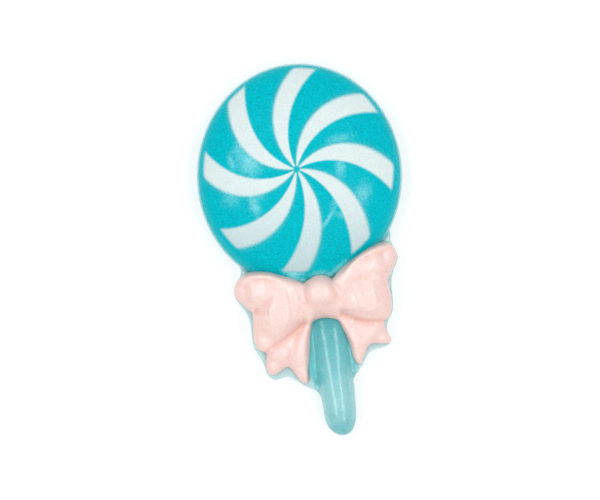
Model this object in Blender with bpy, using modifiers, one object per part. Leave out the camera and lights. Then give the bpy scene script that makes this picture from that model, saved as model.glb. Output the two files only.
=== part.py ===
"""A small flat-backed lollipop ornament, cast in resin and lying on its back.

Two castings make it. The teal one is the domed candy disc, the round-topped stick and the
plate behind the bow. The pink one is the bow, which lies on that plate across the foot of
the disc. The back is the plane z = 0, the stick points along -Y, and the origin is the
middle of the footprint's box. All dimensions below are in millimetres.
"""

import math

import bmesh
import bpy
from mathutils import Matrix, Vector

MM = 0.001

# The whole ornament
TOTAL_LENGTH = 30.0
GAP = 0.3  # clearance between the pink casting and the teal one

# Candy disc: a rounded dome on a low wall, slightly longer than wide and leaning to +X
DISC_HALF_WIDTH = 8.21
DISC_HALF_LENGTH = 8.98
DISC_LEAN = math.radians(9.5)
DISC_WALL = 1.3
DISC_RISE = 3.7
DISC_FULLNESS = 2.2  # 2 is an ellipse; more is flatter on top and steeper at the rim
DISC_RINGS = 13

# Swirl printed on the dome: eight white arms that turn clockwise towards the rim
ARMS = 8
SPOKES_PER_ARM = 9
WHITE_SPOKES = 4
ARM_START = math.radians(19.5)
ARM_TURN = math.radians(27.8)
ARM_CURL = math.radians(13.8)
PRINT_EDGE = 0.94  # share of the disc's radius that the print reaches
SWIRL_OFFSET = Vector((-0.19, 0.52))  # from the disc's middle to the swirl's eye

# Stick, plate and bow are measured from the middle of the knot
KNOT_CENTRE = Vector((-0.05, -3.48))

# Stick: a round-topped bar, from inside the disc to its rounded tip
STICK_EDGE = 1.5
STICK_TIP = -TOTAL_LENGTH / 2 - KNOT_CENTRE.y
STICK_OUTLINE = [
    (0.00, 0.60), (0.70, 0.00), (0.85, -2.30), (1.10, -4.20), (1.38, -6.20),
    (1.48, -7.40), (1.40, -8.50), (1.30, -9.40), (1.18, -10.20), (0.92, -10.90),
    (0.46, STICK_TIP + 0.11), (-0.08, STICK_TIP), (-0.62, STICK_TIP + 0.22),
    (-1.06, -10.85), (-1.29, -10.15), (-1.32, -9.20), (-1.31, -8.40), (-1.34, -7.40),
    (-1.28, -6.00), (-1.02, -4.00), (-0.72, -2.30), (-0.60, 0.00),
]  # fmt: skip
STICK_CREST = [(0.0, -0.5, 2.1), (0.0, -1.8, 2.1), (0.02, -3.0, 2.45), (0.05, -5.5, 2.65), (0.0, -10.1, 2.5)]

# Plate behind the bow, which shows as a rim round it and as a web beside the stick
PLATE_THICKNESS = 1.5
PLATE_OUTLINE = [
    (-5.60, 3.40), (-5.95, 2.50), (-6.45, 1.97), (-6.76, 1.30), (-6.60, 0.52),
    (-6.10, -0.40), (-5.86, -1.30), (-5.93, -2.60), (-5.88, -3.55), (-5.55, -4.25),
    (-5.33, -5.00), (-5.22, -5.75), (-4.75, -6.22), (-4.20, -6.18), (-3.65, -6.10),
    (-3.20, -6.38), (-2.55, -7.02), (-2.05, -7.36), (-1.62, -7.60), (-1.15, -8.30),
    (0.00, -8.50), (1.20, -7.60), (1.64, -7.02), (2.02, -6.60), (2.40, -6.22),
    (2.94, -5.52), (3.39, -5.20), (4.35, -5.12), (4.86, -4.95), (5.00, -4.50),
    (4.80, -3.80), (4.98, -3.20), (5.31, -2.75), (5.60, -2.20), (5.75, -0.90),
    (5.82, -0.10), (6.15, 0.75), (6.54, 1.42), (6.67, 1.90), (6.52, 2.60),
    (6.30, 3.20), (6.42, 3.80), (5.60, 4.40), (3.00, 4.20), (0.00, 3.60), (-3.00, 4.00),
]  # fmt: skip

# Bow: each part is an outline and a crest line, whose points also have a height
BOW_FOOT = PLATE_THICKNESS + GAP
LOOP_EDGE = 2.6
ROLL_EDGE = 3.1
TAIL_EDGE = 2.2
FOLD_EDGE = 2.4

LEFT_LOOP = [
    (-0.64, 0.72), (-1.28, 0.92), (-2.40, 1.72), (-3.36, 2.24), (-4.40, 2.48),
    (-5.55, 2.46), (-6.25, 2.12), (-6.64, 1.45), (-6.52, 0.80), (-6.12, 0.12),
    (-5.80, -0.48), (-5.64, -1.20), (-5.68, -2.08), (-5.74, -2.88), (-5.58, -3.55),
    (-5.12, -3.80), (-4.40, -3.60), (-3.36, -3.12), (-2.40, -2.56), (-1.44, -1.92),
    (-0.72, -1.36),
]  # fmt: skip
LEFT_LOOP_CREST = [(-1.6, -0.4, 3.7), (-3.4, -0.6, 4.1), (-4.9, -1.8, 3.8)]
LEFT_ROLL = [
    (-0.70, 0.70), (-1.28, 0.92), (-2.40, 1.72), (-3.36, 2.24), (-4.40, 2.48),
    (-5.55, 2.46), (-6.25, 2.12), (-6.64, 1.45), (-6.42, 1.02), (-5.90, 1.42),
    (-4.80, 1.65), (-3.30, 1.40), (-2.10, 0.90), (-1.20, 0.25),
]  # fmt: skip
LEFT_ROLL_CREST = [(-1.1, 0.6, 3.6), (-2.4, 1.3, 3.95), (-4.4, 2.05, 4.05), (-6.0, 1.7, 3.5)]

RIGHT_LOOP = [
    (0.64, 0.72), (1.20, 0.88), (2.40, 1.64), (3.60, 2.44), (4.80, 2.88), (5.92, 3.06),
    (6.45, 2.72), (6.60, 2.08), (6.42, 1.34), (6.00, 0.68), (5.72, -0.04), (5.64, -0.96),
    (5.60, -1.88), (5.26, -2.62), (4.70, -3.04), (3.84, -3.00), (2.88, -2.72),
    (1.92, -2.32), (1.12, -1.68), (0.64, -1.20),
]  # fmt: skip
RIGHT_LOOP_CREST = [(1.6, -0.3, 3.7), (3.4, -0.4, 4.1), (4.7, -1.2, 3.9)]
RIGHT_ROLL = [
    (0.70, 0.70), (1.20, 0.88), (2.40, 1.64), (3.60, 2.44), (4.80, 2.88), (5.92, 3.06),
    (6.45, 2.72), (6.60, 2.08), (6.38, 1.60), (5.80, 1.80), (4.80, 1.85), (3.60, 1.50),
    (2.40, 0.85), (1.20, 0.25),
]  # fmt: skip
RIGHT_ROLL_CREST = [(1.1, 0.55, 3.6), (2.4, 1.2, 3.95), (4.6, 2.35, 4.05), (6.0, 2.4, 3.6)]

LEFT_TAIL = [
    (-0.48, -1.20), (-1.60, -1.76), (-3.20, -2.72), (-4.60, -3.44), (-5.05, -4.08),
    (-5.16, -5.04), (-5.04, -5.66), (-4.70, -5.98), (-4.32, -5.92), (-3.92, -5.60),
    (-3.50, -5.32), (-3.26, -5.60), (-3.02, -6.20), (-2.60, -6.78), (-2.16, -7.14),
    (-1.90, -6.98), (-1.78, -6.16), (-1.66, -5.04), (-1.46, -3.68), (-1.12, -2.52),
    (-0.64, -2.00),
]  # fmt: skip
RIGHT_TAIL = [
    (0.48, -1.20), (0.64, -2.00), (1.04, -2.48), (1.40, -3.52), (1.64, -4.80),
    (1.74, -5.76), (1.82, -6.40), (2.12, -6.42), (2.52, -6.00), (2.86, -5.40),
    (3.20, -5.00), (3.92, -4.92), (4.60, -4.94), (4.92, -4.66), (4.86, -4.08),
    (4.58, -3.44), (4.00, -2.72), (2.40, -2.08), (1.20, -1.52),
]  # fmt: skip
LEFT_TAIL_CREST = [(-1.6, -2.4, 2.5), (-2.9, -3.8, 2.7), (-3.4, -4.6, 2.5)]
RIGHT_TAIL_CREST = [(1.5, -2.4, 2.5), (2.6, -3.6, 2.7), (3.0, -4.3, 2.5)]
# Two folds run down each tail, one to each of its points
TAIL_FOLDS = {
    "left_inner": [
        (-0.90, -1.70), (-1.90, -2.10), (-2.70, -3.60), (-3.00, -5.00), (-3.02, -6.20),
        (-2.60, -6.78), (-2.16, -7.14), (-1.90, -6.98), (-1.78, -6.16), (-1.66, -5.04),
        (-1.46, -3.68), (-1.12, -2.52),
    ],
    "left_outer": [
        (-2.60, -2.60), (-3.90, -3.10), (-4.60, -3.44), (-5.05, -4.08), (-5.16, -5.04),
        (-5.04, -5.66), (-4.70, -5.98), (-4.32, -5.92), (-3.92, -5.60), (-3.40, -4.60),
    ],
    "right_inner": [
        (0.80, -1.80), (1.12, -2.60), (1.40, -3.52), (1.64, -4.80), (1.74, -5.76),
        (1.82, -6.40), (2.12, -6.42), (2.52, -6.00), (2.86, -5.30), (2.60, -4.00),
        (1.90, -2.60),
    ],
    "right_outer": [
        (2.20, -2.40), (2.80, -4.00), (3.30, -4.94), (3.92, -4.92), (4.60, -4.94),
        (4.92, -4.66), (4.86, -4.08), (4.58, -3.44), (4.00, -2.72),
    ],
}  # fmt: skip
FOLD_CRESTS = {
    "left_inner": [(-1.3, -2.4, 2.7), (-2.1, -4.2, 2.95), (-2.4, -6.2, 2.6)],
    "left_outer": [(-3.4, -3.3, 2.8), (-4.3, -4.2, 2.95), (-4.7, -5.3, 2.6)],
    "right_inner": [(1.3, -2.4, 2.7), (2.0, -3.9, 2.95), (2.2, -5.6, 2.6)],
    "right_outer": [(2.8, -3.0, 2.8), (3.8, -3.8, 2.95), (4.5, -4.5, 2.6)],
}

KNOT_HALF_WIDTH = 1.25
KNOT_HALF_LENGTH = 1.30
KNOT_EDGE = 3.0
KNOT_CREST = [(-0.3, 0.1, 4.45), (0.3, 0.05, 4.45)]
BRIDGE_CENTRE = (0.0, -0.42)
BRIDGE_HALF_WIDTH = 1.20
BRIDGE_HALF_LENGTH = 1.46
BRIDGE_EDGE = 2.7
BRIDGE_CREST = [(0.0, -0.1, 3.6), (0.0, -0.7, 3.4)]

OUTLINE_STEPS = 3  # points between two outline points
PILLOW_RINGS = 5
INNER_RING = 0.93  # where the last ring closes, as a share of the way to the crest line


def clear_scene():
    for thing in list(bpy.data.objects):
        bpy.data.objects.remove(thing)


def new_collection(name):
    made = bpy.data.collections.new(name)
    bpy.context.scene.collection.children.link(made)
    return made


def resin(name, colour, roughness):
    """An opaque to milky resin finish, with its colour in linear light."""
    made = bpy.data.materials.new(name)
    made.use_nodes = True
    shader = made.node_tree.nodes["Principled BSDF"]
    shader.inputs["Base Color"].default_value = (*colour, 1.0)
    shader.inputs["Roughness"].default_value = roughness
    shader.inputs["Metallic"].default_value = 0.0
    made.diffuse_color = (*colour, 1.0)
    return made


def add_object(name, mesh, group, materials=()):
    made = bpy.data.objects.new(name, mesh)
    group.objects.link(made)
    for finish in materials:
        mesh.materials.append(finish)
    return made


def smooth_loop(points, steps=OUTLINE_STEPS):
    """A closed Catmull-Rom curve through the points, as plan vectors."""
    corners = [Vector(p) for p in points]
    count = len(corners)
    curve = []
    for i in range(count):
        a, b, c, d = (corners[(i + k) % count] for k in (-1, 0, 1, 2))
        for step in range(steps):
            t = step / steps
            bend = (2 * b) + (c - a) * t + (2 * a - 5 * b + 4 * c - d) * t**2
            curve.append(0.5 * (bend + (3 * b - a - 3 * c + d) * t**3))
    return curve


def ellipse(centre, half_width, half_length, count=28):
    turns = (2 * math.pi * i / count for i in range(count))
    return [
        Vector((centre[0] + half_width * math.cos(t), centre[1] + half_length * math.sin(t)))
        for t in turns
    ]


def anticlockwise(outline):
    area = sum(a.cross(b) for a, b in zip(outline, outline[1:] + outline[:1]))
    return outline if area > 0 else outline[::-1]


def grown(outline, by):
    """The outline moved outwards by that much, along the normal at each point."""
    outline = anticlockwise(outline)
    moved = []
    for i, point in enumerate(outline):
        along = outline[(i + 1) % len(outline)] - outline[i - 1]
        moved.append(point + by * Vector((along.y, -along.x)).normalized())
    return moved


def nearest_on(line, point):
    """The point of a crest line that is nearest in plan, with the crest's height there."""
    best = None
    for start, end in zip(line, line[1:]):
        a, b = Vector(start), Vector(end)
        run = (b - a).xy
        share = max(0.0, min(1.0, (point - a.xy).dot(run) / run.length_squared))
        spot = a.lerp(b, share)
        if best is None or (spot.xy - point).length < (best.xy - point).length:
            best = spot
    return best


def pillow(name, outline, crest, foot, edge, group, rings=PILLOW_RINGS):
    """A lofted body: a wall from foot to edge along the outline, then a rounded top up to the crest."""
    outline = anticlockwise(outline)
    targets = [nearest_on(crest, point) for point in outline]
    levels = [[Vector((*point, foot)) for point in outline]]
    for ring in range(rings + 1):
        share = INNER_RING * ring / rings
        swell = math.sqrt(1 - (1 - share) ** 2)
        levels.append(
            [
                Vector((*point.lerp(target.xy, share), edge + (target.z - edge) * swell))
                for point, target in zip(outline, targets)
            ]
        )
    body = bmesh.new()
    loops = [[body.verts.new(spot * MM) for spot in level] for level in levels]
    for lower, upper in zip(loops, loops[1:]):
        for i in range(len(outline)):
            k = (i + 1) % len(outline)
            body.faces.new((lower[i], lower[k], upper[k], upper[i]))
    body.faces.new(reversed(loops[0]))
    body.faces.new(loops[-1])
    bmesh.ops.triangulate(body, faces=body.faces[:])
    mesh = bpy.data.meshes.new(name)
    body.to_mesh(mesh)
    body.free()
    return add_object(name, mesh, group)


def slab(name, outline, top, group):
    """A flat plate of that outline, from the back plane up."""
    body = bmesh.new()
    face = body.faces.new([body.verts.new(Vector((*p, 0)) * MM) for p in anticlockwise(outline)])
    raised = bmesh.ops.extrude_face_region(body, geom=[face])["geom"]
    corners = [part for part in raised if isinstance(part, bmesh.types.BMVert)]
    bmesh.ops.translate(body, verts=corners, vec=(0, 0, top * MM))
    bmesh.ops.recalc_face_normals(body, faces=body.faces[:])
    mesh = bpy.data.meshes.new(name)
    body.to_mesh(mesh)
    body.free()
    return add_object(name, mesh, group)


def dome_height(share, grow=0.0):
    """Height of the candy disc at that share of its radius."""
    return DISC_WALL + grow + DISC_RISE * math.sqrt(max(0.0, 1 - share**DISC_FULLNESS))


def swirl_angle(share):
    """How far the swirl has turned clockwise from +Y at that share of the radius."""
    return ARM_START + ARM_TURN * share + ARM_CURL * share**2


def disc_shares():
    """Ring radii from the middle to the rim, closer together where the dome falls away."""
    shares = [math.sin(math.pi / 2 * i / DISC_RINGS) for i in range(1, DISC_RINGS + 1)]
    nearest = min(range(DISC_RINGS), key=lambda i: abs(shares[i] - PRINT_EDGE))
    shares[nearest] = PRINT_EDGE
    return shares


def candy_disc(name, group, grow=0.0):
    """The domed disc, turned round Z, with its spokes bent along the arms of the swirl."""
    spokes = ARMS * SPOKES_PER_ARM
    profile = [(0.0, dome_height(0, grow))]
    profile += [(share, dome_height(share, grow)) for share in disc_shares()]
    profile += [(1.0, 0.0), (0.0, 0.0)]
    mesh = bpy.data.meshes.new(name)
    mesh.from_pydata(
        [(x, 0, z) for x, z in profile], [(i, i + 1) for i in range(len(profile) - 1)], []
    )
    turned = add_object(name, mesh, group)
    screw = turned.modifiers.new("turn", "SCREW")
    screw.steps = screw.render_steps = spokes
    screw.use_merge_vertices = True
    screw.merge_threshold = 0.0001
    mesh = applied(turned)
    arm_half = math.pi / ARMS * WHITE_SPOKES / SPOKES_PER_ARM
    on_top = {}
    for corner in mesh.vertices:
        share = min(1.0, corner.co.xy.length)
        on_top[corner.index] = corner.co.z > DISC_WALL / 2
        turn = Matrix.Rotation(arm_half - swirl_angle(share), 2)
        plan = turn @ corner.co.xy
        shift = SWIRL_OFFSET * (1 - share) if on_top[corner.index] else Vector((0, 0))
        plan = Vector((plan.x * (DISC_HALF_WIDTH + grow), plan.y * (DISC_HALF_LENGTH + grow)))
        plan = Matrix.Rotation(-DISC_LEAN, 2) @ plan + shift
        height = corner.co.z
        if on_top[corner.index] and share < 1:
            height = dome_height(disc_share(plan, grow), grow)
        corner.co = Vector((*(plan + disc_centre()), height)) * MM
    paint_swirl(mesh, on_top)
    return turned


def disc_centre():
    reach = math.hypot(
        DISC_HALF_LENGTH * math.cos(DISC_LEAN), DISC_HALF_WIDTH * math.sin(DISC_LEAN)
    )
    return Vector((0.0, TOTAL_LENGTH / 2 - reach))


def disc_share(plan, grow=0.0):
    """Where a point lies between the disc's middle, 0, and its rim, 1."""
    upright = Matrix.Rotation(DISC_LEAN, 2) @ plan
    return math.hypot(
        upright.x / (DISC_HALF_WIDTH + grow), upright.y / (DISC_HALF_LENGTH + grow)
    )


def paint_swirl(mesh, on_top):
    """Gives the faces of the dome their print: slot 1 is turquoise and slot 2 is white."""
    sector = 2 * math.pi / ARMS
    for face in mesh.polygons:
        if not all(on_top[i] for i in face.vertices):
            continue
        middle = face.center / MM - Vector((*disc_centre(), 0))
        share = disc_share(middle.xy - SWIRL_OFFSET * (1 - disc_share(middle.xy)))
        if share > PRINT_EDGE:
            continue
        offset = middle.xy - SWIRL_OFFSET * (1 - share)
        upright = Matrix.Rotation(DISC_LEAN, 2) @ offset
        turned = math.atan2(upright.x / DISC_HALF_WIDTH, upright.y / DISC_HALF_LENGTH)
        phase = (turned - swirl_angle(share) + sector / 2) % sector - sector / 2
        white = abs(phase) < sector / 2 * WHITE_SPOKES / SPOKES_PER_ARM
        face.material_index = 2 if white else 1


def applied(thing):
    """The object with its modifiers made into its mesh."""
    bpy.context.view_layer.update()
    graph = bpy.context.evaluated_depsgraph_get()
    mesh = bpy.data.meshes.new_from_object(thing.evaluated_get(graph))
    thing.modifiers.clear()
    thing.data = mesh
    return mesh


def united(name, body, pieces):
    """One Boolean union of the body with a collection of pieces, applied, and the pieces removed."""
    joint = body.modifiers.new("union", "BOOLEAN")
    joint.operation = "UNION"
    joint.solver = "MANIFOLD"
    joint.operand_type = "COLLECTION"
    joint.collection = pieces
    applied(body)
    for thing in list(pieces.objects):
        bpy.data.objects.remove(thing)
    bpy.data.collections.remove(pieces)
    body.name = name
    return body


def cut_from(body, cutter):
    cutter.hide_render = True
    cutter.display_type = "WIRE"
    cut = body.modifiers.new("clear of " + cutter.name, "BOOLEAN")
    cut.operation = "DIFFERENCE"
    cut.solver = "MANIFOLD"
    cut.object = cutter


def from_knot(points):
    """Bow measurements moved to where the knot is."""
    return [Vector(p) + KNOT_CENTRE.resized(len(p)) for p in points]


def bow_outlines():
    return {
        "left_loop": smooth_loop(from_knot(LEFT_LOOP)),
        "right_loop": smooth_loop(from_knot(RIGHT_LOOP)),
        "left_tail": smooth_loop(from_knot(LEFT_TAIL)),
        "right_tail": smooth_loop(from_knot(RIGHT_TAIL)),
        "bridge": ellipse(KNOT_CENTRE + Vector(BRIDGE_CENTRE), BRIDGE_HALF_WIDTH, BRIDGE_HALF_LENGTH),
    }


def teal_casting(parts, finishes):
    """Disc, stick and back plate, which are one casting."""
    pieces = new_collection("teal pieces")
    stick = smooth_loop(from_knot(STICK_OUTLINE))
    pillow("stick", stick, from_knot(STICK_CREST), 0.0, STICK_EDGE, pieces)
    slab("plate", smooth_loop(from_knot(PLATE_OUTLINE)), PLATE_THICKNESS, pieces)
    disc = candy_disc("disc", parts)
    for finish in finishes:
        disc.data.materials.append(finish)
    return united("teal_casting", disc, pieces)


def stick_clearance(cutters):
    outline = grown(smooth_loop(from_knot(STICK_OUTLINE)), GAP)
    crest = from_knot([(x, y, z + GAP) for x, y, z in STICK_CREST])
    return pillow("stick_clearance", outline, crest, 0.0, STICK_EDGE + GAP, cutters)


def pink_bow(parts, cutters, finish):
    """Two loops with a roll along the top, folded tails, and the knot over the middle."""
    pieces = new_collection("pink pieces")
    outlines = bow_outlines()
    pillow("left_loop", outlines["left_loop"], from_knot(LEFT_LOOP_CREST), BOW_FOOT, LOOP_EDGE, pieces)
    pillow("right_loop", outlines["right_loop"], from_knot(RIGHT_LOOP_CREST), BOW_FOOT, LOOP_EDGE, pieces)
    for name, outline, crest in (
        ("left_roll", LEFT_ROLL, LEFT_ROLL_CREST),
        ("right_roll", RIGHT_ROLL, RIGHT_ROLL_CREST),
    ):
        pillow(name, smooth_loop(from_knot(outline)), from_knot(crest), BOW_FOOT, ROLL_EDGE, pieces)
    for name, crest in (("left_tail", LEFT_TAIL_CREST), ("right_tail", RIGHT_TAIL_CREST)):
        pillow(name, outlines[name], from_knot(crest), BOW_FOOT, TAIL_EDGE, pieces)
    for name, outline in TAIL_FOLDS.items():
        crest = from_knot(FOLD_CRESTS[name])
        pillow(name, smooth_loop(from_knot(outline)), crest, BOW_FOOT, FOLD_EDGE, pieces)
    knot = ellipse(KNOT_CENTRE, KNOT_HALF_WIDTH, KNOT_HALF_LENGTH)
    pillow("knot", knot, from_knot(KNOT_CREST), BOW_FOOT, KNOT_EDGE, pieces)
    bridge = pillow(
        "bridge", outlines["bridge"], from_knot(BRIDGE_CREST), BOW_FOOT, BRIDGE_EDGE, parts
    )
    bow = united("pink_bow", bridge, pieces)
    bow.data.materials.append(finish)
    cut_from(bow, candy_disc("disc_clearance", cutters, GAP))
    cut_from(bow, stick_clearance(cutters))
    return bow


def main():
    clear_scene()
    parts = new_collection("lollipop")
    cutters = new_collection("cutters")
    teal = resin("teal resin", (0.10, 0.48, 0.51), 0.22)
    turquoise = resin("turquoise print", (0.0, 0.55, 0.62), 0.15)
    white = resin("white print", (0.75, 0.86, 0.87), 0.15)
    pink = resin("pink resin", (0.95, 0.72, 0.66), 0.35)
    teal_casting(parts, (teal, turquoise, white))
    pink_bow(parts, cutters, pink)


main()
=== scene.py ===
import math

import bpy
from mathutils import Matrix, Vector, kdtree


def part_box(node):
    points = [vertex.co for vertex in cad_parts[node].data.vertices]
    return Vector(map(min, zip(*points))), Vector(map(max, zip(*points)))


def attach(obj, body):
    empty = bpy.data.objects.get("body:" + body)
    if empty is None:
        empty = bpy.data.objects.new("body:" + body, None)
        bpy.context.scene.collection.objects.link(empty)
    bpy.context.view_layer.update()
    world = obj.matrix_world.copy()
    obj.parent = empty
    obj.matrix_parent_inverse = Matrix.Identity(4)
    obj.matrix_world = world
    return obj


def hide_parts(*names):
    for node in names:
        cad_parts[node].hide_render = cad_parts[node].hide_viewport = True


# A flat-backed resin lollipop ornament on a pale table: milky teal casting, printed dome, pink bow.

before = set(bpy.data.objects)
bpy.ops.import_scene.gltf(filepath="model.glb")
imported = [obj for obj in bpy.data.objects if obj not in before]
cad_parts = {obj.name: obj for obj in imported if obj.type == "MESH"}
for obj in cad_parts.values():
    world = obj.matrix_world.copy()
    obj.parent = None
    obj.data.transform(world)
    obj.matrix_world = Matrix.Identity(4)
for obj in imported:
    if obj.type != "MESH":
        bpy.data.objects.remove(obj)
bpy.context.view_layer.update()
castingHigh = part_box("teal_casting")[1]
mm = 0.001
scene = bpy.context.scene


# Small helpers

def deselectAll():
    if bpy.context.mode != "OBJECT":
        bpy.ops.object.mode_set(mode="OBJECT")
    bpy.ops.object.select_all(action="DESELECT")


def makeActive(obj):
    deselectAll()
    obj.select_set(True)
    bpy.context.view_layer.objects.active = obj


def editAll(obj):  # leaves the object in edit mode with all of it selected
    makeActive(obj)
    bpy.ops.object.mode_set(mode="EDIT")
    bpy.ops.mesh.select_all(action="SELECT")


def selectVerts(obj, test):  # leaves the object in edit mode with those vertices selected
    makeActive(obj)
    bpy.ops.object.mode_set(mode="EDIT")
    bpy.ops.mesh.select_mode(type="VERT")
    bpy.ops.mesh.select_all(action="DESELECT")
    bpy.ops.object.mode_set(mode="OBJECT")
    for vert in obj.data.vertices:
        vert.select = test(vert)
    bpy.ops.object.mode_set(mode="EDIT")


def newCircle(name, sides, radius, location=(0, 0, 0), rotation=(0, 0, 0)):
    deselectAll()
    bpy.ops.mesh.primitive_circle_add(
        vertices=sides, radius=radius, fill_type="NGON", location=location, rotation=rotation
    )
    obj = bpy.context.object
    obj.name = name
    bpy.ops.object.transform_apply(location=True, rotation=True)
    return obj


def faceOutwards(obj):
    editAll(obj)
    bpy.ops.mesh.normals_make_consistent(inside=False)
    bpy.ops.object.mode_set(mode="OBJECT")


def joinInto(body, parts):
    makeActive(body)
    for part in parts:
        part.select_set(True)
    bpy.ops.object.join()


def applyAll(obj):
    makeActive(obj)
    for modifier in list(obj.modifiers):
        bpy.ops.object.modifier_apply(modifier=modifier.name)


def softenWith(obj, rounds):
    soften = obj.modifiers.new("soften", "SMOOTH")
    soften.factor = 0.5
    soften.iterations = rounds
    applyAll(obj)


def remeshAndSoften(obj, voxel, rounds):  # runs joined parts together into one skin
    remesh = obj.modifiers.new("remesh", "REMESH")
    remesh.mode = "VOXEL"
    remesh.voxel_size = voxel
    softenWith(obj, rounds)


def copyOfNode(node, name):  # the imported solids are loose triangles, so a copy is merged first
    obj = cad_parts[node].copy()
    obj.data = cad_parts[node].data.copy()
    obj.name = name
    for key in list(obj.keys()):
        del obj[key]
    obj.parent = None
    scene.collection.objects.link(obj)
    editAll(obj)
    bpy.ops.mesh.remove_doubles(threshold=0.002 * mm)
    bpy.ops.object.mode_set(mode="OBJECT")
    return obj


def finishPiece(obj, material, node):
    makeActive(obj)
    bpy.ops.object.shade_smooth()
    obj.data.materials.clear()
    obj.data.materials.append(material)
    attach(obj, "root")
    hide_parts(node)


# Node helpers

def feed(tree, socket, value):
    if isinstance(value, bpy.types.NodeSocket):
        tree.links.new(value, socket)
    else:
        socket.default_value = value


def mathStep(tree, operation, *values):
    node = tree.nodes.new("ShaderNodeMath")
    node.operation = operation
    for socket, value in zip(node.inputs, values):
        feed(tree, socket, value)
    return node.outputs[0]


def vectorStep(tree, operation, vector):
    node = tree.nodes.new("ShaderNodeVectorMath")
    node.operation = operation
    tree.links.new(vector, node.inputs[0])
    return node


def lengthOf(tree, vector):
    return vectorStep(tree, "LENGTH", vector).outputs["Value"]


def axesOf(tree, vector):
    node = tree.nodes.new("ShaderNodeSeparateXYZ")
    tree.links.new(vector, node.inputs[0])
    return node.outputs


def polynomial(tree, value, constant, slope, bend):  # constant + slope v + bend v v
    inner = mathStep(tree, "MULTIPLY_ADD", value, bend, slope)
    return mathStep(tree, "MULTIPLY_ADD", value, inner, constant)


def fade(tree, value, start, end, low=0.0, high=1.0):  # smooth step from low to high
    node = tree.nodes.new("ShaderNodeMapRange")
    node.interpolation_type = "SMOOTHSTEP"
    feed(tree, node.inputs["Value"], value)
    node.inputs["From Min"].default_value = start
    node.inputs["From Max"].default_value = end
    node.inputs["To Min"].default_value = low
    node.inputs["To Max"].default_value = high
    return node.outputs["Result"]


def fadeMm(tree, value, span, low=0.0, high=1.0):  # the same between two places in mm
    return fade(tree, value, span[0] * mm, span[1] * mm, low, high)


def blendColours(tree, factor, first, second):
    node = tree.nodes.new("ShaderNodeMix")
    node.data_type = "RGBA"
    feed(tree, node.inputs["Factor"], factor)
    feed(tree, node.inputs["A"], first)
    feed(tree, node.inputs["B"], second)
    return node.outputs["Result"]


def noise(tree, vector, scale, detail=2.0, roughness=0.5):
    node = tree.nodes.new("ShaderNodeTexNoise")
    tree.links.new(vector, node.inputs["Vector"])
    node.inputs["Scale"].default_value = scale
    node.inputs["Detail"].default_value = detail
    node.inputs["Roughness"].default_value = roughness
    return node.outputs["Fac"]


def bump(tree, height, normal=None):  # the height is in mm
    node = tree.nodes.new("ShaderNodeBump")
    node.inputs["Strength"].default_value = 1.0
    node.inputs["Distance"].default_value = mm
    tree.links.new(height, node.inputs["Height"])
    if normal:
        tree.links.new(normal, node.inputs["Normal"])
    return node.outputs["Normal"]


def objectCoords(tree):
    return tree.nodes.new("ShaderNodeTexCoord").outputs["Object"]


def placed(tree, vector, location, turn, size):  # the pattern's own space: moved, turned, scaled
    node = tree.nodes.new("ShaderNodeMapping")
    node.vector_type = "TEXTURE"
    tree.links.new(vector, node.inputs["Vector"])
    node.inputs["Location"].default_value = location
    node.inputs["Rotation"].default_value = (0, 0, turn)
    node.inputs["Scale"].default_value = size
    return node.outputs["Vector"]


def colour(red, green, blue):  # from 0 to 255 as seen on a screen
    def linear(part):
        part /= 255
        return part / 12.92 if part <= 0.04045 else ((part + 0.055) / 1.055) ** 2.4

    return (linear(red), linear(green), linear(blue), 1.0)


def newGroup(name, takes, gives):  # a node group with its sockets, and what it takes and gives
    tree = bpy.data.node_groups.new(name, "ShaderNodeTree")
    for label, kind in takes:
        tree.interface.new_socket(label, in_out="INPUT", socket_type="NodeSocket" + kind)
    for label, kind in gives:
        tree.interface.new_socket(label, in_out="OUTPUT", socket_type="NodeSocket" + kind)
    given = tree.nodes.new("NodeGroupInput").outputs
    result = tree.nodes.new("NodeGroupOutput").inputs
    return tree, given, result


def newMaterial(name, settings):  # what is the same all over goes straight onto the shader
    material = bpy.data.materials.new(name)
    material.use_nodes = True
    tree = material.node_tree
    shader = tree.nodes["Principled BSDF"]
    for label, value in settings.items():
        shader.inputs[label].default_value = value
    return material, tree, shader


# Uneven cast surface that all three finishes share: slow waves, fine grain, cloudy and speckled colour

surface = {
    "waves": (420.0, 1.5),  # scale, detail and roughness of each noise
    "grain": (5200.0, 3.0, 0.6),
    "clouds": (900.0, 4.0, 0.65),
    "specks": (8500.0, 1.0),
    "glossSpread": 0.2,  # how far the roughness wanders
    "grainInClouds": 0.5,  # share of the grain in the cloudy colour
    "noiseMiddle": 0.5,  # what a noise is on average
}


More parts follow.
